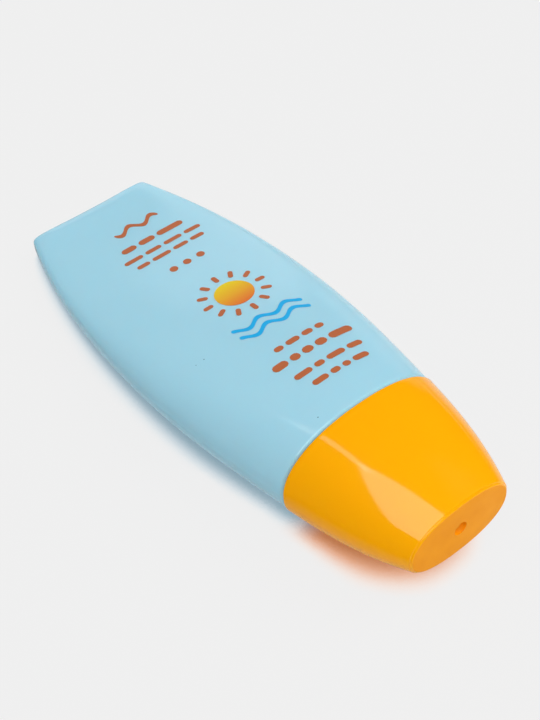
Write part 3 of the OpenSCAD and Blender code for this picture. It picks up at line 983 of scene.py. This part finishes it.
# %% [markdown]
# ## The painted shadow
#
# The bottle lies on pale paper. To the camera the paper is one even pale grey, which is what a
# shop picture has, and close to the bottle it takes a short soft shadow that is painted into the
# paper's colour. The painted shadow is tinted as if by light that has passed through or off the
# plastic: blue beside the bottle, orange under the cap. Traced light alone gives that tint weakly
# and with noise. Ambient occlusion finds where the painted shadow goes, so it is clean and follows
# the pieces in every pose.

# %% The painted shadow
FLOOR_GREY = 0.863
PAPER = (FLOOR_GREY,) * 3
CONTACT_REACH, CONTACT_SAMPLES, CONTACT_DARK, CONTACT_OPEN = 9 * MM, 16, 0.3, 1.0
# Colours of the painted shadow, from deep shade to open sky, tinted with painted bounce light.
BLUE_PAINTED_SHADOW = ((0.0, (0.22, 0.35, 0.42)), (0.15, (0.51, 0.61, 0.68)), (0.32, (0.73, 0.79, 0.82)),
              (0.5, PAPER))
ORANGE_PAINTED_SHADOW = ((0.0, (0.42, 0.13, 0.03)), (0.25, (0.8, 0.38, 0.21)), (0.5, (0.9, 0.69, 0.59)),
                (0.72, (0.91, 0.83, 0.79)), (0.9, PAPER))
PAINTED_SHADOW_BLEND = 6 * MM
NARROWING, NARROW_FROM, NARROW_TO = 1.7, (6 * MM, 32 * MM), (36 * MM, 52 * MM)


def open_sky(nodes, links, along):
    """How open the sky is above the paper; the shadow narrows towards the seam."""
    contact = nodes.new("ShaderNodeAmbientOcclusion")
    contact.samples = CONTACT_SAMPLES
    contact.inputs["Distance"].default_value = CONTACT_REACH
    wide = ramp_between(nodes, links, contact.outputs["AO"], CONTACT_DARK, CONTACT_OPEN)
    narrower = ramp_between(nodes, links, along, *NARROW_FROM, 1.0, NARROWING)
    wide_again = ramp_between(nodes, links, along, *NARROW_TO, 1.0, 1 / NARROWING)
    return math_node(nodes, links, "MULTIPLY", wide,
                     math_node(nodes, links, "MULTIPLY", narrower, wide_again))


def painted_shadow_colour(nodes, links, along, sky):
    """Painted shadow: blue beside the bottle, orange under the cap and plain paper under an open
    sky.
    """
    seam_along = turn_joint["pos_m"][0]
    under_cap = ramp_between(nodes, links, along, seam_along - PAINTED_SHADOW_BLEND / 2,
                             seam_along + PAINTED_SHADOW_BLEND)
    return mix(nodes, links, under_cap, colour_ramp(nodes, links, sky, BLUE_PAINTED_SHADOW),
               colour_ramp(nodes, links, sky, ORANGE_PAINTED_SHADOW))


print("the shadow reaches", round(CONTACT_REACH / MM, 1), "mm from the bottle")

# %% [markdown]
# ## What a mirror sees of the paper
#
# Glossy plastic shows what stands round it. The cap in the photograph mirrors a dark room with
# one lit patch of paper about the bottle. Real lamps over a small sheet of paper would do that,
# but the floor has to look even to the camera. So the paper glows by its place for mirror rays
# alone: dim on the near side, brighter behind the bottle, and fading out beyond.

# %% The lit patch
NEAR_SIDE, NEAR_GLOW = (-38 * MM, -18 * MM), 0.4
BEHIND, BEHIND_GAIN = (0, 18 * MM), 2.2
FAR_SIDE, FAR_SHARE = (30 * MM, 200 * MM), 0.1
PAST_BASE, PAST_BASE_SHARE = (-80 * MM, 20 * MM), 0.55


def lit_patch(nodes, links, along, across):
    """How bright the paper looks in a mirror, by its place."""
    near_side = ramp_between(nodes, links, across, *NEAR_SIDE, 0.0, NEAR_GLOW)
    behind = ramp_between(nodes, links, across, *BEHIND, 1.0, BEHIND_GAIN)
    far_side = ramp_between(nodes, links, across, *FAR_SIDE, 1.0, FAR_SHARE)
    past_base = ramp_between(nodes, links, along, *PAST_BASE, PAST_BASE_SHARE, 0.0)
    return math_node(nodes, links, "MULTIPLY",
                     math_node(nodes, links, "MULTIPLY", near_side, behind),
                     math_node(nodes, links, "MAXIMUM", far_side, past_base))


print("the patch is brightest past", round(BEHIND[1] / MM), "mm across:",
      round(NEAR_GLOW * BEHIND_GAIN, 2))

# %% [markdown]
# ## Floor
#
# The floor is one large sheet. Its material is a mix of two: dull paper, which takes light and
# throws it back at the bottle, and a glow, which gives the camera and mirrors the colours from
# above. To the camera a little of the dull paper shows as well, and none from afar, so the sheet
# ends without a horizon line.

# %% Floor
FLOOR_SIDE, FLOOR_MOTTLE, FLOOR_CLOUD = 5.0, 0.004, 1 / 3
PAPER_ROUGHNESS = 0.9
FLOOR_OWN_LIGHT, OWN_LIGHT_FADE = 0.96, (0.2, 0.8)


def floor_material():
    mat, nodes, links, paper = new_material("pale_floor")
    place = nodes.new("ShaderNodeTexCoord").outputs["Object"]
    split = nodes.new("ShaderNodeSeparateXYZ")
    links.new(place, split.inputs["Vector"])
    along, across = split.outputs["X"], split.outputs["Y"]
    grey = mix(nodes, links, noise(nodes, links, place, FLOOR_CLOUD, 2), PAPER,
               (FLOOR_GREY - FLOOR_MOTTLE,) * 3)
    links.new(grey, paper.inputs["Base Color"])
    paper.inputs["Roughness"].default_value = PAPER_ROUGHNESS
    paper.inputs["Specular IOR Level"].default_value = 0.0

    path = nodes.new("ShaderNodeLightPath")
    camera, mirror = path.outputs["Is Camera Ray"], path.outputs["Is Glossy Ray"]
    sky = open_sky(nodes, links, along)
    # Mirrors see the lit patch, and the painted shadow at the strength of its shade.
    shaded = math_node(nodes, links, "SUBTRACT", 1.0, sky)
    lit = math_node(nodes, links, "MAXIMUM", lit_patch(nodes, links, along, across), shaded)
    # The glow's colour is the painted shadow; the camera sees it at full strength.
    glow = nodes.new("ShaderNodeEmission")
    links.new(painted_shadow_colour(nodes, links, along, sky), glow.inputs["Color"])
    links.new(math_node(nodes, links, "MAXIMUM", camera, lit), glow.inputs["Strength"])

    reach = nodes.new("ShaderNodeVectorMath")
    reach.operation = "LENGTH"
    links.new(place, reach.inputs[0])
    own_light = ramp_between(nodes, links, reach.outputs["Value"], *OWN_LIGHT_FADE,
                             FLOOR_OWN_LIGHT, 1.0)
    seen = math_node(nodes, links, "MULTIPLY", camera, own_light)
    reflected = math_node(nodes, links, "MAXIMUM", mirror, path.outputs["Is Transmission Ray"])
    both = nodes.new("ShaderNodeMixShader")
    links.new(math_node(nodes, links, "MAXIMUM", seen, reflected), both.inputs["Fac"])
    links.new(paper.outputs["BSDF"], both.inputs[1])
    links.new(glow.outputs["Emission"], both.inputs[2])
    surface = next(n for n in nodes if n.type == "OUTPUT_MATERIAL").inputs["Surface"]
    links.new(both.outputs["Shader"], surface)
    return mat


bm = bmesh.new()
bmesh.ops.create_grid(bm, x_segments=8, y_segments=8, size=FLOOR_SIDE / 2)
floor_mesh = bpy.data.meshes.new("floor")
bm.to_mesh(floor_mesh)
bm.free()
floor = bpy.data.objects.new("floor", floor_mesh)
bpy.context.scene.collection.objects.link(floor)
floor_mesh.materials.append(floor_material())
print("floor of", FLOOR_SIDE, "m, colour", FLOOR_GREY)

# %% [markdown]
# ## Light
#
# A nearly square softbox hangs almost overhead, a little towards the camera. The cap mirrors its
# corner as a bright leaf, and a narrow light beside it as the leaf's stalk. Their places could
# be found by trial. They were worked out from that mirror image: the cap's normal at a bright
# spot tells which way the camera's ray went on. A third lamp on the far side evens out the
# front face and is kept out of reflections, as a bounce off a dull wall would be.

# %% Lamps
LAMP_DISTANCE = 1.5
KEY_DIRECTION, KEY_TURN = (0.244, -0.272, 0.931), math.radians(-5.1)
KEY_SIZE, KEY_RADIANCE = (1.2, 1.325), 2.0
STALK_DIRECTION, STALK_TURN = (-0.413, -0.153, 0.898), math.radians(68.7)
STALK_SIZE, STALK_RADIANCE = (0.717, 0.11), 1.8
BOUNCE_DIRECTION, BOUNCE_SIZE, BOUNCE_RADIANCE = (0.30, 0.62, 0.72), (1.0, 1.0), 2.4
WATTS_PER_AREA = 4


def soft_lamp(name, direction, turn, size, radiance, mirrored=True):
    """A softbox that faces the bottle; a radiance of 1 looks white, which takes 4 watts a m2."""
    data = bpy.data.lights.new(name, "AREA")
    data.shape = "RECTANGLE"
    data.size, data.size_y = size
    data.energy = radiance * WATTS_PER_AREA * size[0] * size[1]
    lamp = bpy.data.objects.new(name, data)
    spot = Vector(direction).normalized() * LAMP_DISTANCE
    facing = (-spot).to_track_quat("-Z", "Y").to_matrix().to_4x4()
    lamp.matrix_world = Matrix.Translation(spot) @ facing @ Matrix.Rotation(turn, 4, "Z")
    lamp.visible_glossy = mirrored
    lamp.visible_camera = False
    bpy.context.scene.collection.objects.link(lamp)
    print(name, "gives", round(data.energy, 1), "W")


soft_lamp("key", KEY_DIRECTION, KEY_TURN, KEY_SIZE, KEY_RADIANCE)
soft_lamp("stalk", STALK_DIRECTION, STALK_TURN, STALK_SIZE, STALK_RADIANCE)
soft_lamp("bounce", BOUNCE_DIRECTION, 0, BOUNCE_SIZE, BOUNCE_RADIANCE, mirrored=False)

# %% [markdown]
# ## Room
#
# The world gives a weak even fill, so that nothing falls to black. An image of a real studio
# could do this, but it would bring its own colours and reflections. Here the camera sees the
# pale backdrop, and a mirror sees a dark room with two pale cards: one past the base, whose
# edge shows along the base of the bottle, and a softer one low on the far side.

# %% Room
ROOM_LIGHT, ROOM_MIRRORED, BACKDROP = 0.38, 0.01, 0.863
CARDS = (
    # direction, radius and soft edge in degrees, how bright it looks
    ((-0.905, 0.422, 0.04), 21, 2, 0.9),
    ((-0.616, 0.788, 0.0), 7, 10, 0.5),
)


def pale_card(nodes, links, ray, direction, radius, edge, radiance):
    """A round card in one direction, which fades over its soft edge."""
    towards = nodes.new("ShaderNodeVectorMath")
    towards.operation = "DOT_PRODUCT"
    links.new(ray, towards.inputs[0])
    towards.inputs[1].default_value = Vector(direction).normalized()
    return ramp_between(nodes, links, towards.outputs["Value"],
                        math.cos(math.radians(radius + edge)), math.cos(math.radians(radius)),
                        0.0, radiance)


def room():
    world = bpy.data.worlds.new("room")
    bpy.context.scene.world = world
    world.use_nodes = True
    nodes, links = world.node_tree.nodes, world.node_tree.links
    background = next(n for n in nodes if n.type == "BACKGROUND")
    background.inputs["Color"].default_value = (1, 1, 1, 1)
    path = nodes.new("ShaderNodeLightPath")
    ray = nodes.new("ShaderNodeTexCoord").outputs["Generated"]
    mirrored = ROOM_MIRRORED
    for card in CARDS:
        mirrored = math_node(nodes, links, "MAXIMUM", pale_card(nodes, links, ray, *card), mirrored)
    light = mix(nodes, links, path.outputs["Is Glossy Ray"], ROOM_LIGHT, mirrored, "FLOAT")
    seen = mix(nodes, links, path.outputs["Is Camera Ray"], light, BACKDROP, "FLOAT")
    links.new(seen, background.inputs["Strength"])


room()
bpy.context.scene.view_settings.view_transform = "Standard"
print("room light:", ROOM_LIGHT, "backdrop:", BACKDROP)
